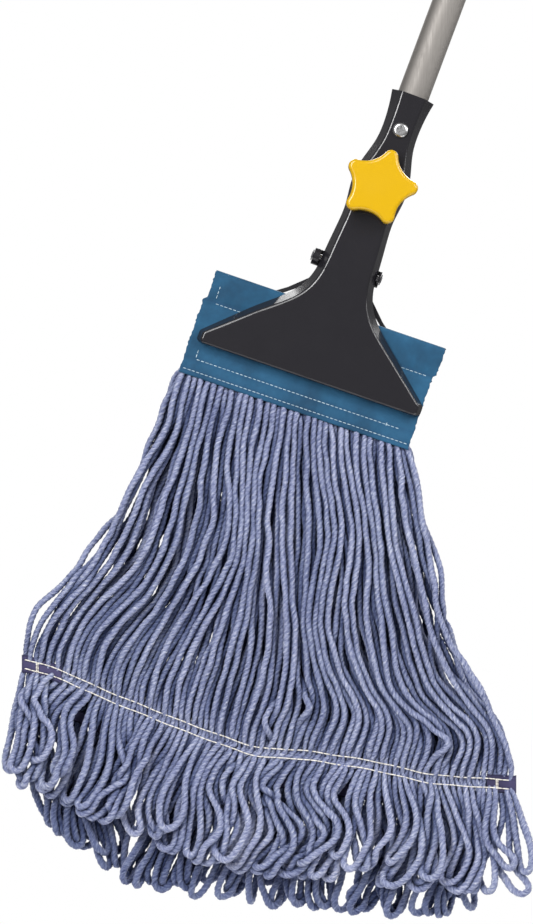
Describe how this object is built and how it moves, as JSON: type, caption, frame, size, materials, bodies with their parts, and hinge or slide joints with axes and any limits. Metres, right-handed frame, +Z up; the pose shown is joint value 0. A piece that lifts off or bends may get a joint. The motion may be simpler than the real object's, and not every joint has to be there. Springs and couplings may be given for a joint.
{
  "type": "string mop",
  "caption": "Looped-end string mop: yarn head with a wide sewn headband, held in a two-jaw plastic clamp that a star knob closes, on a leaning tube handle.",
  "frame": {"origin": "on the tube's axis at the mouth of the clamp's socket, where a holder or a hand takes the tube", "axes": "+Z up, with the handle leaning 20.5 degrees from it towards +X, as the mop is held; -Y is the front of the clamp, with the star knob; the yarn hangs along -Z"},
  "size_m": [0.8167, 0.064, 1.9562],
  "materials": {
    "tube_aluminium": "satin anodised",
    "grip_plastic": "moulded",
    "jaw_plastic": "glossy moulded",
    "knob_plastic": "glossy moulded",
    "pad_plastic": "moulded",
    "screw_chrome": "plated",
    "zinc_steel": "zinc plated",
    "spring_steel": "drawn",
    "insert_brass": "turned",
    "band_tape": "woven",
    "tail_tape": "woven",
    "yarn": "twisted yarn"
  },
  "bodies": {
    "clamp": {"handle_tube": "tube_aluminium", "handle_grip": "grip_plastic", "front_jaw": "jaw_plastic", "socket_screw": "screw_chrome", "socket_washer": "zinc_steel", "socket_nut": "zinc_steel", "thread_insert": "insert_brass", "hinge_pin": "spring_steel", "pin_clips": "spring_steel", "torsion_spring": "spring_steel"},
    "rear_jaw": {"rear_jaw": "jaw_plastic"},
    "pressure_pad": {"pressure_pad": "pad_plastic"},
    "star_knob": {"star_knob": "knob_plastic", "knob_stud": "zinc_steel"},
    "mop_head": {"headband_front": "band_tape", "headband_back": "band_tape", "headband_fold": "band_tape", "yarn_core": "yarn", "front_tailband": "tail_tape", "back_tailband": "tail_tape", "front_yarn_1": "yarn", "front_yarn_2": "yarn", "front_yarn_3": "yarn", "front_yarn_4": "yarn", "front_yarn_5": "yarn", "back_yarn_1": "yarn", "back_yarn_2": "yarn", "back_yarn_3": "yarn", "back_yarn_4": "yarn", "back_yarn_5": "yarn"}
  },
  "joints": [
    {"name": "knob_travel", "type": "slide", "parent": "clamp", "child": "pressure_pad", "axis": [0, -1, 0], "range_m": [0, 0.01063]},
    {"name": "knob_spin", "type": "hinge", "parent": "pressure_pad", "child": "star_knob", "pos_m": [-0.02714, -0.03, -0.07259], "axis": [0, -1, 0], "range_deg": [0, 1530]},
    {"name": "jaw_open", "type": "hinge", "parent": "clamp", "child": "rear_jaw", "pos_m": [-0.05043, -0.001, -0.13488], "axis": [0.9367, 0, -0.3502], "range_deg": [0, 9.2]},
    {"name": "head_release", "type": "slide", "parent": "clamp", "child": "mop_head", "axis": [-0.3502, 0, -0.9367], "range_m": [0, 0.11]}
  ],
  "couplings": [
    {"joint": "knob_travel", "follows": "knob_spin", "m_per_rad": 0.00039789},
    {"joint": "jaw_open", "follows": "knob_spin", "ratio": 0.0059833}
  ]
}
